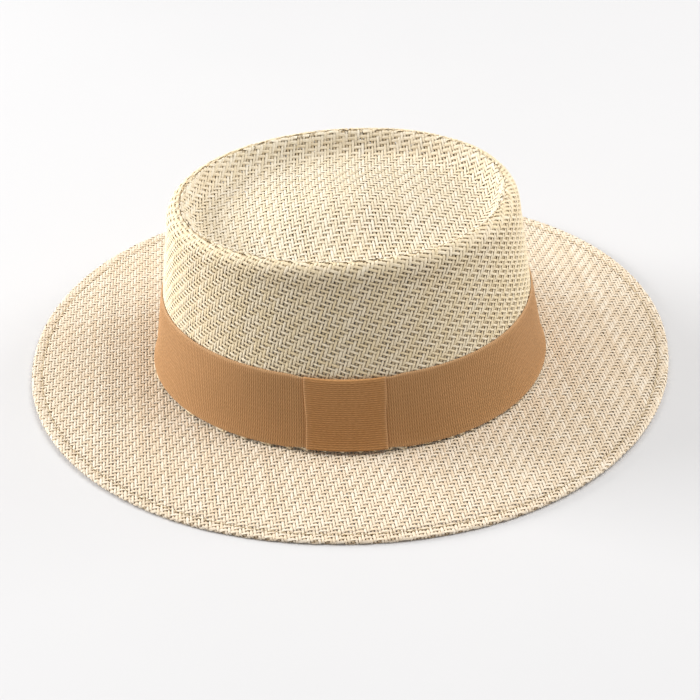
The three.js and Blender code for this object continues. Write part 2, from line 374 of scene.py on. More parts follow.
class Finish:
    """A material round one Principled shader, with short ways to add nodes to it."""

    def __init__(self, name, roughness, shine=0.5):
        self.material = bpy.data.materials.new(name)
        self.material.use_nodes = True
        self.tree = self.material.node_tree
        self.shader = self.tree.nodes["Principled BSDF"]
        self.shader.inputs["Roughness"].default_value = roughness
        self.shader.inputs["Specular IOR Level"].default_value = shine

    def attribute(self, name):
        node = self.tree.nodes.new("ShaderNodeAttribute")
        node.attribute_name = name
        return node.outputs["Fac"]

    def group(self, group, **given):
        """Places a shared effect with this material's own values."""
        node = self.tree.nodes.new("ShaderNodeGroup")
        node.node_tree = group
        for label, value in given.items():
            if isinstance(value, (int, float)):
                node.inputs[label].default_value = value
            else:
                self.tree.links.new(value, node.inputs[label])
        return node.outputs

    def mixed(self, share, first, second):
        """Two colours, each a socket or three numbers, mixed by a share."""
        node = self.tree.nodes.new("ShaderNodeMix")
        node.data_type = "RGBA"
        factor, sockets = node.inputs[0], (node.inputs[6], node.inputs[7])
        if isinstance(share, (int, float)):
            factor.default_value = share
        else:
            self.tree.links.new(share, factor)
        for socket, colour in zip(sockets, (first, second)):
            if isinstance(colour, tuple):
                socket.default_value = (*colour, 1)
            else:
                self.tree.links.new(colour, socket)
        return node.outputs[2]

    def scaled(self, value, amount):
        return maths(self.tree, "MULTIPLY", value, amount)

    def colour(self, socket):
        self.tree.links.new(socket, self.shader.inputs["Base Color"])

    def rough_from(self, mask, low, high):
        value = maths(self.tree, "MULTIPLY_ADD", mask, high - low)
        value.node.inputs[2].default_value = low
        self.tree.links.new(value, self.shader.inputs["Roughness"])

    def bump(self, height, strength, distance):
        node = self.tree.nodes.new("ShaderNodeBump")
        node.inputs["Strength"].default_value = strength
        node.inputs["Distance"].default_value = distance
        self.tree.links.new(height, node.inputs["Height"])
        self.tree.links.new(node.outputs["Normal"], self.shader.inputs["Normal"])


def make_straw(name, light, dark):
    """Paper straw: each strand has its own tone and fibres, with painted shade in the gaps and where it
    passes below others.
    """
    finish = Finish(name, 0.6, shine=0.12)
    tone = finish.attribute("strand_tone")
    run = finish.attribute("strand_run")
    side = finish.attribute("strand_side")
    streaks = finish.group(fibres, Run=run, Across=side, Strand=tone, Length=5.0)
    fading = finish.group(mottling, Patch=0.045, Seed=2.0)
    colour = finish.mixed(tone, light, dark)
    colour = finish.mixed(finish.scaled(streaks["Mask"], 0.22), colour, (0.70, 0.55, 0.34))
    colour = finish.mixed(finish.scaled(fading["Mask"], 0.16), colour, (0.86, 0.68, 0.50))
    # Painted shade: a strand is darkened towards brown where it dips below the strands that cross it
    under = finish.scaled(spread(finish.tree, finish.attribute("strand_dip"), 0.3, 1.0), 0.5)
    colour = finish.mixed(under, colour, (0.47, 0.33, 0.16))
    # Painted shade: each strand's sides are darkened by its gaps value, so the gaps between strands look
    # shaded
    beside = finish.scaled(spread(finish.tree, side, 0.66, 1.0), 0.95)
    finish.colour(finish.mixed(beside, colour, (0.20, 0.115, 0.035)))
    finish.rough_from(streaks["Mask"], 0.5, 0.72)
    finish.bump(streaks["Height"], 0.35, 0.0001)
    return finish.material


def make_ribbon(name, colour, valley, shade, cross):
    """Grosgrain: cross ribs with painted shade in the valley between them, broken by a woven cross pattern,
    threads over them and a slow mottling of tone.
    """
    finish = Finish(name, 0.7, shine=0.2)
    run = finish.attribute("ribbon_run")
    across = finish.attribute("ribbon_across")
    rib = finish.attribute("ribbon_rib")
    edge = finish.attribute("ribbon_edge")
    threads = finish.group(fibres, Run=across, Across=run, Strand=0.3, Length=1.6)
    shading = finish.group(mottling, Patch=0.022, Seed=7.0)
    tint = finish.mixed(finish.scaled(shading["Mask"], 0.35), colour, shade)
    tint = finish.mixed(finish.scaled(threads["Mask"], 0.4), tint, valley)
    # Painted shade: the valley between ribs is darkened towards the valley colour, broken by the cross
    # pattern of the weave
    crossing = maths(finish.tree, "SINE", finish.scaled(across, 2 * math.pi / THREAD_REPEAT))
    broken = maths(finish.tree, "MULTIPLY", maths(finish.tree, "SUBTRACT", rib, 0.5), crossing)
    valley_shade_and_weave = maths(finish.tree, "ADD", rib, finish.scaled(broken, cross))
    tint = finish.mixed(finish.scaled(valley_shade_and_weave, 0.7), tint, valley)
    # Painted highlight: the selvages at the ribbon's edges are lightened
    finish.colour(finish.mixed(finish.scaled(edge, 0.25), tint, (0.80, 0.52, 0.30)))
    finish.rough_from(threads["Mask"], 0.55, 0.8)
    finish.shader.inputs["Sheen Weight"].default_value = 0.12
    finish.shader.inputs["Sheen Roughness"].default_value = 0.4
    finish.bump(threads["Height"], 0.4, 0.00008)
    return finish.material


def make_thread():
    finish = Finish("cream sewing thread", 0.6, shine=0.2)
    streaks = finish.group(fibres, Run=finish.attribute("strand_run"), Across=0.0, Strand=0.7, Length=0.5)
    finish.colour(finish.mixed(streaks["Mask"], (0.80, 0.70, 0.50), (0.62, 0.50, 0.32)))
    finish.bump(streaks["Height"], 0.5, 0.0001)
    return finish.material


crown_straw = make_straw("cream paper straw of the crown", (0.97, 0.87, 0.68), (0.90, 0.76, 0.51))
tip_straw = make_straw("cream paper straw of the tip", (0.93, 0.87, 0.74), (0.83, 0.73, 0.54))
brim_straw = make_straw("cream paper straw of the brim", (0.95, 0.865, 0.735), (0.85, 0.715, 0.55))
band_ribbon = make_ribbon(
    "tan grosgrain of the band", (0.63, 0.345, 0.152), (0.24, 0.115, 0.04), (0.54, 0.305, 0.13), 1.0
)
keeper_ribbon = make_ribbon(
    "tan grosgrain of the keeper", (0.66, 0.345, 0.132), (0.24, 0.105, 0.035), (0.57, 0.28, 0.095), 0.3
)
thread = make_thread()


# Meshes

def new_piece(name, vertices, faces, material, values, bake_map):
    """A smooth mesh object with named values at its vertices and a map at its faces' corners."""
    mesh = bpy.data.meshes.new(name)
    mesh.from_pydata((np.asarray(vertices) * MM).tolist(), [], faces)
    mesh.polygons.foreach_set("use_smooth", [True] * len(mesh.polygons))
    for label, numbers in values.items():
        attribute = mesh.attributes.new(label, "FLOAT", "POINT")
        attribute.data.foreach_set("value", np.asarray(numbers, np.float32))
    if bake_map is not None:
        layer = mesh.uv_layers.new(name="OFBake")
        layer.data.foreach_set("uv", np.asarray(bake_map, np.float32).ravel())
    mesh.update()
    piece = bpy.data.objects.new(name, mesh)
    bpy.context.scene.collection.objects.link(piece)
    mesh.materials.append(material)
    return piece


def crease_strands(mesh):
    """Keeps the two long edges of every strand crisp, and its ridge soft."""
    ends = np.empty(2 * len(mesh.edges), np.int32)
    mesh.edges.foreach_get("vertices", ends)
    corners = ends.reshape(-1, 2) % 3
    crisp = (corners[:, 0] == corners[:, 1]) & (corners[:, 0] != 1)
    mesh.attributes.new("sharp_edge", "BOOLEAN", "EDGE").data.foreach_set("value", crisp)


def set_down(piece, node):
    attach(piece, "root")
    if node:
        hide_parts(node)
    return piece


class StrandMesh:
    """Collects strands, each a closed tube with a ridge and a flat sole, into one mesh."""

    def __init__(self):
        self.vertices = []
        self.faces = []
        self.map = []
        self.values = {"strand_tone": [], "strand_run": [], "strand_side": [], "strand_dip": []}
        self.count = 0
        self.row = 0
        self.row_used = 0.0

    def add(self, centres, normals, half_width, dip, gaps):
        """Adds one strand along its centres. Dip is 1 below other strands, where painted shade darkens it,
        and gaps set how much painted shade darkens its sides.
        """
        count = len(centres)
        if count < 2:
            return
        direction = np.gradient(centres, axis=0)
        side = np.cross(direction, normals)
        side /= np.linalg.norm(side, axis=1, keepdims=True)
        up = np.cross(side, direction)
        up /= np.linalg.norm(up, axis=1, keepdims=True)
        sole, ridge = centres - STRAND_SOLE * up, centres + STRAND_RIDGE * up
        rings = np.stack([sole - half_width * side, ridge, sole + half_width * side], axis=1)
        step = np.linalg.norm(np.diff(centres, axis=0), axis=1)
        run = np.concatenate([[0.0], np.cumsum(step)])
        self.vertices.append(rings.reshape(-1, 3))
        self.values["strand_run"].append(np.repeat(run, 3))
        self.values["strand_tone"].append(np.full(3 * count, RANDOM.random()))
        self.values["strand_side"].append(np.outer(gaps, [1.0, 0.0, 1.0]).ravel())
        self.values["strand_dip"].append(np.repeat(dip, 3))
        self.add_faces(count, run)
        self.count += 3 * count

    def add_faces(self, count, run):
        """Faces of the strand's three sides and both ends, laid in rows on the map."""
        if self.row_used + run[-1] > MAP_ROW:
            self.row += 1
            self.row_used = 0.0
        along = self.row_used + run
        self.row_used += run[-1] + 2
        here = self.count + 3 * np.arange(count - 1)
        for corner in range(3):
            after = (corner + 1) % 3
            faces = np.stack([here + corner, here + 3 + corner, here + 3 + after, here + after], axis=1)
            self.faces.append(faces.tolist())
            low, high = self.row + 0.05 + 0.3 * corner, self.row + 0.35 + 0.3 * corner
            u = np.stack([along[:-1], along[1:], along[1:], along[:-1]], axis=1)
            v = np.broadcast_to([low, low, high, high], u.shape)
            self.map.append(np.stack([u, v], axis=-1).reshape(-1, 2))
        first, last = self.count, self.count + 3 * (count - 1)
        ends = [([first, first + 1, first + 2], along[0]), ([last + 2, last + 1, last], along[-1])]
        for face, u in ends:
            self.faces.append([face])
            self.map.append(np.array([[u, self.row + 0.3], [u + 0.5, self.row + 0.5], [u, self.row + 0.7]]))

    def make(self, name, material):
        faces = [face for group in self.faces for face in group]
        bake_map = np.concatenate(self.map) / [MAP_ROW + 2, self.row + 1]
        values = {label: np.concatenate(parts) for label, parts in self.values.items()}
        piece = new_piece(name, np.concatenate(self.vertices), faces, material, values, bake_map)
        crease_strands(piece.data)
        return piece


# Woven straw cloth

def wandering(count):
    """How far each line of the weave lies from its even place, as a share of the distance between lines."""
    knots = RANDOM.uniform(-1, 1, count // WANDER_STRANDS + 3)
    slow = np.interp(np.arange(count) / WANDER_STRANDS, np.arange(len(knots)), knots)
    return LINE_WANDER * slow + LINE_JITTER * RANDOM.normal(size=count)


def line_numbers(lines, x, y):
    """Which strand and which cross strand pass a place on the flat cloth."""
    return [a * x + b * y + c * x * x + d * x * y + e * y * y for a, b, c, d, e in lines]


def line_slopes(lines, x, y):
    """How fast the numbers of strands and cross strands grow along x and y."""
    return [(a + 2 * c * x + d * y, b + d * x + 2 * e * y) for a, b, c, d, e in lines]


def crossings(lines, low, high):
    """Numbers and flat places of the cloth's crossings between two corners of a rectangle. Each strand
    leans a little where it lies over two others, so its crossings sway to either side of its line."""
    edge_x, edge_y = np.meshgrid(np.linspace(low[0], high[0], 30), np.linspace(low[1], high[1], 30))
    ranges = [(int(n.min()) - 1, int(n.max()) + 2) for n in line_numbers(lines, edge_x, edge_y)]
    i, j = np.meshgrid(*(np.arange(first, last) for first, last in ranges), indexing="ij")
    sway = np.where((i + j + 1) % TWILL_REPEAT < TWILL_REPEAT // 2, FLOAT_SWAY, -FLOAT_SWAY)
    strand = i + sway + wandering(i.shape[0])[:, None]
    cross = j + sway + wandering(i.shape[1])[None, :]
    x, y = np.zeros(i.shape), np.zeros(i.shape)
    for _ in range(8):
        at_strand, at_cross = line_numbers(lines, x, y)
        (ux, uy), (vx, vy) = line_slopes(lines, x, y)
        twist = ux * vy - uy * vx
        x = x + ((strand - at_strand) * vy - (cross - at_cross) * uy) / twist
        y = y + ((cross - at_cross) * ux - (strand - at_strand) * vx) / twist
        x, y = np.clip(x, 2 * low[0], 2 * high[0]), np.clip(y, 2 * low[1], 2 * high[1])
    return i, j, x, y


def surface_normals(surface, x, y, reach=0.05):
    """Unit normals of a surface that maps the plane to points."""
    along_x = surface(x + reach, y) - surface(x - reach, y)
    along_y = surface(x, y + reach) - surface(x, y - reach)
    normal = np.cross(along_x, along_y)
    return normal / np.maximum(np.linalg.norm(normal, axis=-1, keepdims=True), 1e-9)


def runs_of(kept, joined):
    """First and last index of each unbroken run of kept crossings, with one more where cloth goes on."""
    edges = np.flatnonzero(np.diff(np.concatenate([[0], kept.astype(np.int8), [0]])))
    for first, last in zip(edges[::2], edges[1::2]):
        if first > 0 and joined[first - 1]:
            first -= 1
        if last < len(kept) and joined[last]:
            last += 1
        if last - first > 1:
            yield slice(first, last)


def half_widths(lines):
    """Half the width of a strand and of a cross strand."""
    slopes = line_slopes(lines, 0, 0)
    return [share / 2 / math.hypot(*slope) for share, slope in zip((STRAND_COVER, CROSS_COVER), slopes)]


def weave(name, material, places, widths, surface, kept, gaps, joined=None, steps=1):
    """Weaves strands and cross strands over the kept crossings of flat cloth, over two and under two."""
    i, j, x, y = places
    strands = StrandMesh()
    joined = np.zeros(kept.shape, bool) if joined is None else joined
    strand_over = (i + j) % TWILL_REPEAT < TWILL_REPEAT // 2
    lift = np.where(strand_over, WEAVE_RISE, -WEAVE_RISE)

    def lay(cut, direction, half_width):
        number = np.arange(len(x[cut]))
        fine = np.linspace(0, number[-1], number[-1] * steps + 1)
        flat_x, flat_y, rise, dark = (np.interp(fine, number, values[cut]) for values in (x, y, lift, gaps))
        rise = rise * direction
        normals = surface_normals(surface, flat_x, flat_y)
        width = half_width * RANDOM.uniform(1 - WIDTH_SPREAD, 1 + WIDTH_SPREAD)
        dip = 0.5 - 0.5 * rise / WEAVE_RISE
        strands.add(surface(flat_x, flat_y) + normals * rise[:, None], normals, width, dip, dark)

    for n in range(kept.shape[0]):
        for run in runs_of(kept[n], joined[n]):
            lay((n, run), 1, widths[0])
    for n in range(kept.shape[1]):
        for run in runs_of(kept[:, n], joined[:, n]):
            lay((run, n), -1, widths[1])
    return strands.make(name, material)


def flat_size(lines, x, y, kept):
    """Width, length and area in metres of the flat cloth that the kept crossings stand for."""
    (ux, uy), (vx, vy) = line_slopes(lines, x[kept], y[kept])
    area = (1 / np.abs(ux * vy - uy * vx)).sum()
    width, length = np.ptp(x[kept]), np.ptp(y[kept])
    return (width * MM, length * MM), area * MM * MM


# Crown side: a strip wrapped round the crown, rolled in at the crest, its two ends seamed at the back

def crown_side_row(angle, place):
    """The side's outer face: place runs 0 to 1 up the wall and 1 to 2 over the shoulder."""
    turn = np.clip(place - 1, 0, 1) * math.pi / 2
    inward = 1 - np.cos(turn)
    height = CROWN_FOOT + np.minimum(place, 1) * (WALL_HEIGHTS[-1] - CROWN_FOOT)
    oval = wall_oval(height).inset(SHOULDER_IN_LENGTH * inward, SHOULDER_IN_WIDTH * inward)
    height = height + SHOULDER_HEIGHT * np.sin(turn)
    share = np.maximum(0, (height - BAND_TOP) / (CREST_HEIGHT - BAND_TOP))
    x, y = oval.point(angle)
    return np.stack([x, y, height + CREST_TILT * share * np.cos(angle)], axis=-1)


climb_places = np.linspace(0, 2, 801)
front_line = crown_side_row(np.full(climb_places.shape, -math.pi / 2), climb_places)
climb_run = np.concatenate([[0], np.cumsum(np.linalg.norm(np.diff(front_line, axis=0), axis=1))])
STRIP_HEIGHT = climb_run[-1]
band_top_place = (BAND_TOP - CROWN_FOOT) / (WALL_HEIGHTS[-1] - CROWN_FOOT)
STRIP_REFERENCE = np.interp(band_top_place, climb_places, climb_run)

ring_angles = np.linspace(-1.5 * math.pi, 0.5 * math.pi, 3001)
ring_run = wall_oval(BAND_TOP).run_along(ring_angles)
ring_run = ring_run - np.interp(STRIP_MIDDLE, ring_angles, ring_run)
STRIP_LEFT, STRIP_RIGHT = -ring_run[0], ring_run[-1]


def crown_side_face(run, climb):
    angle = np.interp(run, ring_run, ring_angles)
    return crown_side_row(angle, np.interp(climb, climb_run, climb_places))


def crown_side_surface(x, y):
    """The middle of the side's cloth over its flat-cut strip, with its top and ends turned in."""
    reach = np.hypot(x, STRIP_RADIUS - y)
    top = STRIP_HEIGHT - LIP_GAP
    on_up, behind_up = folded(STRIP_REFERENCE + STRIP_RADIUS - reach - top, LIP_ROLL)
    run = STRIP_RADIUS * np.arctan2(x, STRIP_RADIUS - y)
    end = np.where(run > 0, STRIP_RIGHT, STRIP_LEFT) - LIP_GAP
    on_round, behind_round = folded(np.abs(run) - end, LIP_ROLL)
    run = np.sign(run) * (end + on_round)
    climb = top + on_up
    behind = STRAW_MIDDLE + behind_up + behind_round
    normal = surface_normals(crown_side_face, run, climb)
    return crown_side_face(run, climb) - normal * behind[..., None]


def make_crown_side():
    half = max(STRIP_LEFT, STRIP_RIGHT) + SEAM_ALLOWANCE
    reach = STRIP_RADIUS + STRIP_REFERENCE
    half_angle = half / STRIP_RADIUS
    low = (-reach * math.sin(half_angle), -STRIP_REFERENCE - 4)
    high = (-low[0], STRIP_RADIUS - (reach - STRIP_HEIGHT - SEAM_ALLOWANCE) * math.cos(half_angle))
    places = crossings(SIDE_LINES, low, high)
    x, y = places[2:]
    climb = STRIP_REFERENCE + STRIP_RADIUS - np.hypot(x, STRIP_RADIUS - y)
    run = STRIP_RADIUS * np.arctan2(x, STRIP_RADIUS - y)
    kept = (climb > 0.2) & (climb < STRIP_HEIGHT + SEAM_ALLOWANCE)
    kept &= (run > -STRIP_LEFT - SEAM_ALLOWANCE) & (run < STRIP_RIGHT + SEAM_ALLOWANCE)
    doubled = smoothstep(climb, STRIP_HEIGHT - SEAM_ALLOWANCE - 2, STRIP_HEIGHT - SEAM_ALLOWANCE + 1)
    gaps = SIDE_GAPS + doubled * (DOUBLED_GAPS - SIDE_GAPS)
    widths = half_widths(SIDE_LINES)
    piece = weave("crown_side_straw", crown_straw, places, widths, crown_side_surface, kept, gaps)
    return set_down(piece, "crown_side"), flat_size(SIDE_LINES, x, y, kept)


# Crown tip: an oval that falls from the crest into a ring, then rises to a low dome

tip_slope = np.hypot(np.diff(TIP_INSETS), np.diff(TIP_DROPS))
tip_run = np.concatenate([[0], np.cumsum(tip_slope)])
TIP_SPARE = tip_run[-1] - TIP_INSETS[-1]
tip_cut = crest_oval.inset(-TIP_SPARE, -TIP_SPARE)
dome_oval = crest_oval.inset(TIP_INSETS[-1], TIP_INSETS[-1])
TIP_EDGE_LEVEL = 0.7


def near_tip_edge(x, y):
    """True over the sunken part and the turned edge, and false in the middle of the dome."""
    return tip_cut.level(x, y) > TIP_EDGE_LEVEL


def tip_face(x, y):
    *_, out_x, out_y, depth = tip_cut.foot(x, y)
    inset = np.interp(depth, tip_run, TIP_INSETS)
    drop = np.interp(depth, tip_run, TIP_DROPS)
    sunk = (depth < tip_run[-1]) & near_tip_edge(x, y)
    back = TIP_SPARE + inset
    x = np.where(sunk, x - out_x * (back - depth), x)
    y = np.where(sunk, y - out_y * (back - depth), y)
    reach = np.clip(dome_oval.level(x, y), 0, 1)
    rise = np.where(sunk, 0, DOME_RISE * (0.5 + 0.5 * np.cos(math.pi * reach)))
    tilt = CREST_TILT * (x - CROWN_CENTRE) / crest_oval.length
    return np.stack([x, y, CREST_HEIGHT - drop + rise + tilt], axis=-1)


def tip_surface(x, y):
    """The middle of the tip's cloth over its flat-cut oval, with its edge turned in at the crest."""
    *_, out_x, out_y, depth = tip_cut.foot(x, y)
    on, behind = folded(LIP_GAP - depth, LIP_ROLL)
    near = near_tip_edge(x, y)
    behind = np.where(near, behind, 0)
    x = np.where(near, x - out_x * (LIP_GAP - on - depth), x)
    y = np.where(near, y - out_y * (LIP_GAP - on - depth), y)
    normal = surface_normals(tip_face, x, y)
    return tip_face(x, y) - normal * (STRAW_MIDDLE + behind)[..., None]


def make_crown_tip():
    half = np.array([tip_cut.length, tip_cut.width]) + SEAM_ALLOWANCE
    places = crossings(TIP_LINES, -half, half)
    x, y = places[2:]
    depth = tip_cut.foot(x, y)[-1]
    kept = depth > -SEAM_ALLOWANCE
    gaps = np.where(depth < SEAM_ALLOWANCE, DOUBLED_GAPS, TIP_GAPS)
    widths = half_widths(TIP_LINES)
    piece = weave("crown_tip_straw", tip_straw, places, widths, tip_surface, kept, gaps, steps=2)
    return set_down(piece, "crown_tip"), flat_size(TIP_LINES, x, y, kept)


# Brim: a flat oval with its outer edge folded under, and a collar turned up inside the crown

def edge_lift(x):
    """How far the brim rises towards its two ends."""
    return END_LIFT * smoothstep(np.abs(brim_edge.lean(x)), LEVEL_SHARE, 1)


def brim_surface(x, y):
    """The middle of the brim's cloth over its flat-cut oval."""
    px, _, out_x, out_y, depth = brim_edge.foot(x, y)
    fold_start = HEM_ROLL + WEAVE_RISE + STRAND_SOLE
    on, below = folded(fold_start - depth, HEM_ROLL)
    inset = fold_start - on
    *_, in_x, in_y, inside = collar_oval.foot(x, y)
    inward, up = folded(inside + COLLAR_ROLL, COLLAR_ROLL, math.pi / 2)
    reach = np.clip(-inside / np.maximum(depth - inside - HEM_WIDTH, 1), 0, 1)
    reach = np.where(depth < HEM_WIDTH, 1, reach)
    groove = STITCH_GROOVE * np.exp(-((depth - HEM_WIDTH) / STITCH_GROOVE_WIDTH) ** 2)
    height = BRIM_ROOT + reach * (BRIM_TOP - BRIM_ROOT + edge_lift(px)) + up - below - groove
    taper = wall_oval(CROWN_FOOT).length - wall_oval(np.maximum(height, CROWN_FOOT)).length
    near_crown = inside > -2 * COLLAR_ROLL
    out = COLLAR_ROLL - inward - np.where(up > 0, taper, 0)
    x = np.where(near_crown, x + in_x * (out + inside), x - out_x * (inset - depth))
    y = np.where(near_crown, y + in_y * (out + inside), y - out_y * (inset - depth))
    return np.stack([x, y, height], axis=-1)


def make_brim_and_hem():
    half = np.array([brim_edge.length, brim_edge.width]) + HEM_TURNED
    places = crossings(BRIM_LINES, -half, half)
    x, y = places[2:]
    depth = brim_edge.foot(x, y)[-1]
    inside = collar_oval.foot(x, y)[-1]
    on_brim = (inside < COLLAR_TOP - BRIM_ROOT) & (depth >= HEM_WIDTH)
    on_hem = (depth < HEM_WIDTH) & (depth > -HEM_TURNED)
    widths = half_widths(BRIM_LINES)
    # Painted shade in the gaps is deepest along the stitch groove
    in_groove = np.exp(-((depth - HEM_WIDTH) / STITCH_GROOVE_WIDTH) ** 2)
    gaps = np.where(on_brim, BRIM_GAPS, DOUBLED_GAPS)
    gaps = gaps + in_groove * (GROOVE_GAPS - gaps)
    brim = weave("brim_straw", brim_straw, places, widths, brim_surface, on_brim, gaps)
    hem = weave(
        "brim_hem_straw", brim_straw, places, widths, brim_surface, on_hem, gaps, joined=on_brim, steps=3
    )
    set_down(brim, "brim")
    set_down(hem, "brim_hem")
    return brim, hem, flat_size(BRIM_LINES, x, y, on_brim)


def make_hem_stitches():
    """Short stitches in a groove round the brim, each a small rounded bar across the cloth's top."""
    stitch_oval = brim_edge.inset(HEM_WIDTH, HEM_WIDTH)
    around = stitch_oval.run_along(np.linspace(0, 2 * math.pi, 4001))[-1]
    count = round(around / STITCH_PITCH)
    angle = stitch_oval.even_angles(count)
    x, y = stitch_oval.point(angle)
    ahead_x, ahead_y = stitch_oval.point(angle + 0.01)
    way = np.stack([ahead_x - x, ahead_y - y], axis=-1)
    way /= np.linalg.norm(way, axis=-1, keepdims=True)
    top = BRIM_TOP + edge_lift(x) + STITCH_ABOVE_BRIM
    sides = np.array([[-1, 0], [0, 1], [1, 0], [0, -1]]) * [STITCH_HALF_WIDTH, STITCH_HALF_HEIGHT]
    # Each row: a place as a share of the stitch's length, the size of its section there, and its rise
    stations = [
        (-0.5, 0.25, -0.5),
        (-0.42, 0.85, -0.05),
        (0, 1, 0.12),
        (0.42, 0.85, -0.05),
        (0.5, 0.25, -0.5),
    ]
    vertices, faces, runs = [], [], []
    for n in range(count):
        start = len(vertices)
        length = STITCH_LENGTH * RANDOM.uniform(0.9, 1.08)
        for place, size, height in stations:
            for across, up in sides * size:
                along = place * length
                vertices.append((
                    x[n] + way[n, 0] * along - way[n, 1] * across,
                    y[n] + way[n, 1] * along + way[n, 0] * across,
                    top[n] + height + up,
                ))
                runs.append(n * STITCH_PITCH + along)
        for station in range(len(stations) - 1):
            for side in range(4):
                here, there = start + 4 * station + side, start + 4 * station + (side + 1) % 4
                faces.append((here, there, there + 4, here + 4))
        last = start + 4 * (len(stations) - 1)
        faces.append((start + 3, start + 2, start + 1, start))
        faces.append((last, last + 1, last + 2, last + 3))
    piece = new_piece("hem_stitches", vertices, faces, thread, {"strand_run": runs}, None)
    return set_down(piece, None)


# Ribbon

def ribbon_piece(name, loops, values, material):
    """A closed ring from loops of points, each loop once round the ribbon's thickness."""
    count, size = loops.shape[:2]
    index = np.arange(count * size).reshape(count, size)
    after = np.roll(index, -1, axis=0)
    beside, after_beside = np.roll(index, -1, axis=1), np.roll(after, -1, axis=1)
    faces = np.stack([index, after, after_beside, beside], axis=-1).reshape(-1, 4).tolist()
    return new_piece(name, loops.reshape(-1, 3), faces, material, values, None)


def rib_profile(number):
    """How high the face stands at each step over a row of ribs, and how deep in a valley it is."""
    turn = 2 * math.pi * number / STEPS_PER_RIB
    return RIB_HEIGHT * (np.cos(turn) - 1), 0.5 - 0.5 * np.cos(turn)


def selvage(share, width):
    """1 at either edge of the ribbon, falling to nothing inside its selvage."""
    distance = np.minimum(share, 1 - share) * width
    return np.exp(-(distance / SELVAGE_WIDTH) ** 2)


def around_keeper(angle):
    """1 where the keeper holds the band, falling to nothing beside it."""
    x, y = wall_oval(BAND_TOP / 2).point(angle)
    distance = np.abs(x - KEEPER_CENTRE)
    held = KEEPER_WIDTH / 2 + PUCKER_MARGIN
    return np.where(y > 0, 0, 1 - smoothstep(distance, held, held + PUCKER_LENGTH))


def slow_wave(angle, share):
    """A gentle unevenness of the band, given at knots round it and up it."""
    knots = RANDOM.uniform(-1, 1, (3, BAND_WAVES))
    place = (angle % (2 * math.pi)) / (2 * math.pi) * BAND_WAVES
    rows = [np.interp(place, np.arange(BAND_WAVES + 1), np.append(row, row[0])) for row in knots]
    return rows[0] * (1 - share) ** 2 + rows[1] * 2 * share * (1 - share) + rows[2] * share ** 2


def make_ribbon_band():
    middle = wall_oval(BAND_TOP / 2)
    around = middle.run_along(np.linspace(0, 2 * math.pi, 4001))[-1]
    ribs = round(around / RIB_PITCH)
    count = ribs * STEPS_PER_RIB
    angle = middle.even_angles(count)[:, None]
    share = np.array(BAND_ROWS)[None, :]
    height_ribs, valley = rib_profile(np.arange(count))
    held = around_keeper(angle)
    low, high = BAND_BOTTOM + KEEPER_LIFT * held, BAND_TOP - PUCKER_IN * held
    bead = selvage(share, BAND_TOP - BAND_BOTTOM)
    wave = BAND_WAVE * (1 + slow_wave(angle, share)) * (1 - bead) * (1 - held)
    inner = RIBBON_CLEARANCE + BAND_STANDOFF * held + wave
    to_edge = np.minimum(share, 1 - share)
    flat_edge = 1 - CUT_EDGE_THINNING * np.exp(-(to_edge / CUT_EDGE_SHARE) ** 2)
    outer = inner + (RIBBON + SELVAGE * bead) * flat_edge + height_ribs[:, None] * (1 - 0.7 * bead)

    def face(offset):
        height = low + share * (high - low)
        x, y = wall_oval(height).outside(angle + 0 * share, offset)
        return np.stack([x, y, height + 0 * x], axis=-1)

    back_rows = [0, 3, 6, 9, len(BAND_ROWS) - 1]
    loops = np.concatenate([face(outer), face(inner)[:, back_rows][:, ::-1]], axis=1)
    across = np.concatenate([share[0], share[0][back_rows][::-1]]) * (BAND_TOP - BAND_BOTTOM)
    run = np.arange(count) / count * around
    shape = loops.shape[:2]
    values = {
        "ribbon_run": np.broadcast_to(run[:, None], shape).ravel(),
        "ribbon_across": np.broadcast_to(across, shape).ravel(),
        "ribbon_rib": np.broadcast_to(valley[:, None], shape).ravel(),
        "ribbon_edge": np.broadcast_to(np.concatenate([bead[0], bead[0][back_rows]]), shape).ravel(),
    }
    piece = ribbon_piece("ribbon_band_grosgrain", loops, values, band_ribbon)
    return set_down(piece, "ribbon_band"), ((BAND_TOP - BAND_BOTTOM) * MM, around * MM)


def keeper_path(front, back, low, high, step):
    """Offsets and heights once round the keeper's cross section, from the middle of its back."""
    roll = (front - back) / 2
    turn = np.linspace(0, math.pi, max(4, round(math.pi * roll / step)))
    middle = back + roll
    rise = np.arange(low + roll, high - roll, step)
    back_up = np.linspace((low + high) / 2, high - roll, 8)[:-1]
    back_down = np.linspace(low + roll, (low + high) / 2, 8)[1:-1]
    offset = np.concatenate([
        np.full(len(back_up), back), middle - roll * np.cos(turn), np.full(len(rise), front)[1:],
        middle + roll * np.cos(turn), np.full(len(back_down), back),
    ])
    height = np.concatenate([
        back_up, high - roll + roll * np.sin(turn), rise[::-1][:-1],
        low + roll - roll * np.sin(turn), back_down,
    ])
    return offset, height


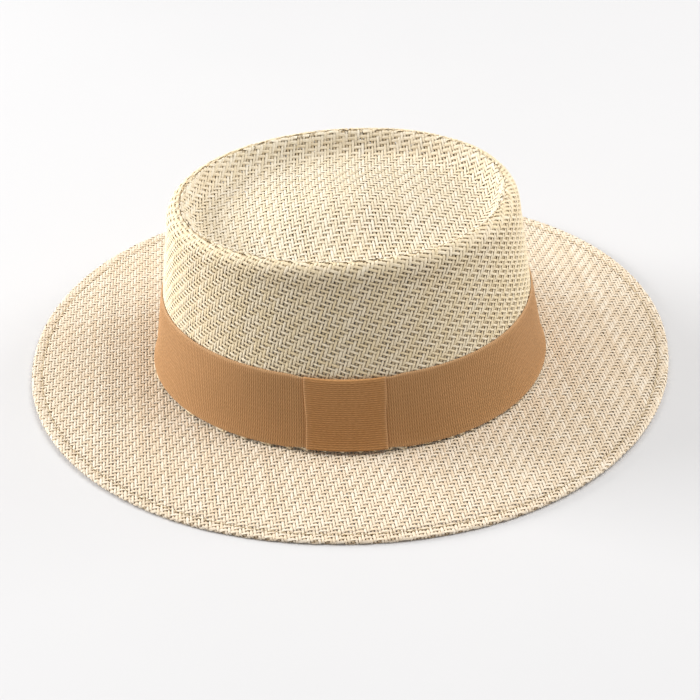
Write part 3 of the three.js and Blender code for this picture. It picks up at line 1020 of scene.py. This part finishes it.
def make_ribbon_keeper():
    step = RIB_PITCH / STEPS_PER_RIB
    back = RIBBON_CLEARANCE + RIBBON / 2
    offset, height = keeper_path(KEEPER_FRONT, back, KEEPER_BOTTOM, KEEPER_TOP, step)
    path = np.stack([offset, height], axis=-1)
    move = np.roll(path, -1, axis=0) - np.roll(path, 1, axis=0)
    move /= np.linalg.norm(move, axis=-1, keepdims=True)
    out = np.stack([move[:, 1], -move[:, 0]], axis=-1)
    out *= np.sign(out[np.argmax(offset), 0])
    run = np.concatenate([[0], np.cumsum(np.hypot(np.diff(offset), np.diff(height)))])
    on_front = offset > KEEPER_FRONT - 0.6
    rib_height, valley = rib_profile(run / step)
    share = np.array(KEEPER_COLUMNS)[:, None]
    bead = selvage(share, KEEPER_WIDTH)
    near_top = smoothstep(height, KEEPER_TOP - KEEPER_SAG_HEIGHT, KEEPER_TOP)
    sag = KEEPER_SAG * (1 - (2 * share - 1) ** 2) * near_top
    belly = KEEPER_BELLY * np.sin(math.pi * share) * np.where(on_front, 1, 0)
    edge_wave = KEEPER_EDGE_WAVE * np.sin(height / KEEPER_EDGE_WAVE_LENGTH) * (2 * share - 1)
    x = KEEPER_CENTRE + KEEPER_WIDTH * (share - 0.5) + edge_wave

    def face(thickness):
        up = height + out[:, 1] * thickness - sag
        away = offset + out[:, 0] * thickness + belly
        oval = wall_oval(np.maximum(up, CROWN_FOOT))
        across = np.clip((x - CROWN_CENTRE) / oval.length, -1, 1)
        angle = -np.arccos(np.sign(across) * np.abs(across) ** (oval.squareness / 2))
        px, py = oval.outside(angle, away)
        return np.stack([px, py, up + 0 * px], axis=-1)

    outer = face(RIBBON / 2 + SELVAGE * bead + rib_height * (1 - 0.8 * bead))
    inner = face(-RIBBON / 2)
    loops = np.concatenate([outer, inner[::-1]], axis=0).transpose(1, 0, 2)
    places = np.concatenate([share[:, 0], share[::-1, 0]])
    edges = np.concatenate([bead[:, 0], bead[::-1, 0]])
    shape = loops.shape[:2]
    values = {
        "ribbon_run": np.broadcast_to(run[:, None], shape).ravel(),
        "ribbon_across": np.broadcast_to(places * KEEPER_WIDTH, shape).ravel(),
        "ribbon_rib": np.broadcast_to(valley[:, None], shape).ravel(),
        "ribbon_edge": np.broadcast_to(edges, shape).ravel(),
    }
    piece = ribbon_piece("ribbon_keeper_grosgrain", loops, values, keeper_ribbon)
    return set_down(piece, "ribbon_keeper"), (KEEPER_WIDTH * MM, run[-1] * MM)


crown_side, side_flat = make_crown_side()
crown_tip, tip_flat = make_crown_tip()
brim, brim_hem, brim_flat = make_brim_and_hem()
hem_stitches = make_hem_stitches()
ribbon_band, band_flat = make_ribbon_band()
ribbon_keeper, keeper_flat = make_ribbon_keeper()

hem_round = brim_edge.run_along(np.linspace(0, 2 * math.pi, 2001))[-1]


# Floor, light and camera

# Half the floor's length, the lights' colour and the point that they face, with lengths in metres
FLOOR_HALF = 6.0
LIGHT_COLOUR = (1.0, 0.985, 0.96)
LIGHT_TARGET = Vector((0, 0, 0.03))


def make_floor():
    mesh = bpy.data.meshes.new("floor")
    corners = [(-1, -1, 0), (1, -1, 0), (1, 1, 0), (-1, 1, 0)]
    mesh.from_pydata([Vector(corner) * FLOOR_HALF for corner in corners], [], [(0, 1, 2, 3)])
    floor = bpy.data.objects.new("floor", mesh)
    bpy.context.scene.collection.objects.link(floor)
    finish = Finish("pale studio floor", 0.9, shine=0.1)
    paper = finish.group(mottling, Patch=0.4, Seed=11.0)
    finish.colour(finish.mixed(paper["Mask"], (0.675, 0.68, 0.70), (0.69, 0.695, 0.715)))
    mesh.materials.append(finish.material)
    floor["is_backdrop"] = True


def add_soft_light(name, place, size, power):
    light = bpy.data.lights.new(name, "AREA")
    light.shape = "RECTANGLE"
    light.size, light.size_y = size
    light.energy = power
    light.color = LIGHT_COLOUR
    lamp = bpy.data.objects.new(name, light)
    lamp.location = place
    lamp.rotation_euler = (LIGHT_TARGET - Vector(place)).to_track_quat("-Z", "Y").to_euler()
    bpy.context.scene.collection.objects.link(lamp)
    lamp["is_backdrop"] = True


def make_light():
    world = bpy.data.worlds.new("studio")
    world.use_nodes = True
    world.node_tree.nodes["Background"].inputs["Color"].default_value = (*LIGHT_COLOUR, 1)
    world.node_tree.nodes["Background"].inputs["Strength"].default_value = 0.32
    bpy.context.scene.world = world
    add_soft_light("softbox over the left", (-1.15, 0.1, 2.2), (1.2, 1.6), 12)
    add_soft_light("softbox over the right", (1.2, 0.05, 2.2), (1.2, 1.8), 38)
    add_soft_light("low softbox at the left", (-2.2, 0.4, 0.7), (1.2, 0.9), 63)
    add_soft_light("low softbox at the right", (2.2, 0.8, 0.7), (1.2, 0.9), 20)
    bpy.context.scene.view_settings.view_transform = "Standard"


CAMERA_PLACE = Vector((104.1, -1247.3, 930.5)) * MM
CAMERA_RIGHT = Vector((0.9978, 0.0525, -0.0410))
CAMERA_FORWARD = Vector((-0.0666, 0.8015, -0.5942))
LENS = 155.0
SENSOR = 36.0


def make_camera():
    data = bpy.data.cameras.new("camera")
    data.lens = LENS
    data.sensor_width = SENSOR
    data.clip_end = 50
    camera = bpy.data.objects.new("camera", data)
    bpy.context.scene.collection.objects.link(camera)
    forward = CAMERA_FORWARD.normalized()
    right = (CAMERA_RIGHT - forward * CAMERA_RIGHT.dot(forward)).normalized()
    up = right.cross(forward)
    turn = Matrix((right, up, -forward)).transposed().to_4x4()
    camera.matrix_world = Matrix.Translation(CAMERA_PLACE) @ turn
    bpy.context.scene.camera = camera


make_floor()
make_light()
make_camera()

boxes = {"cad": cad_bounds, "visual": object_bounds()}
{name: [list(corner) for corner in box] for name, box in boxes.items()}
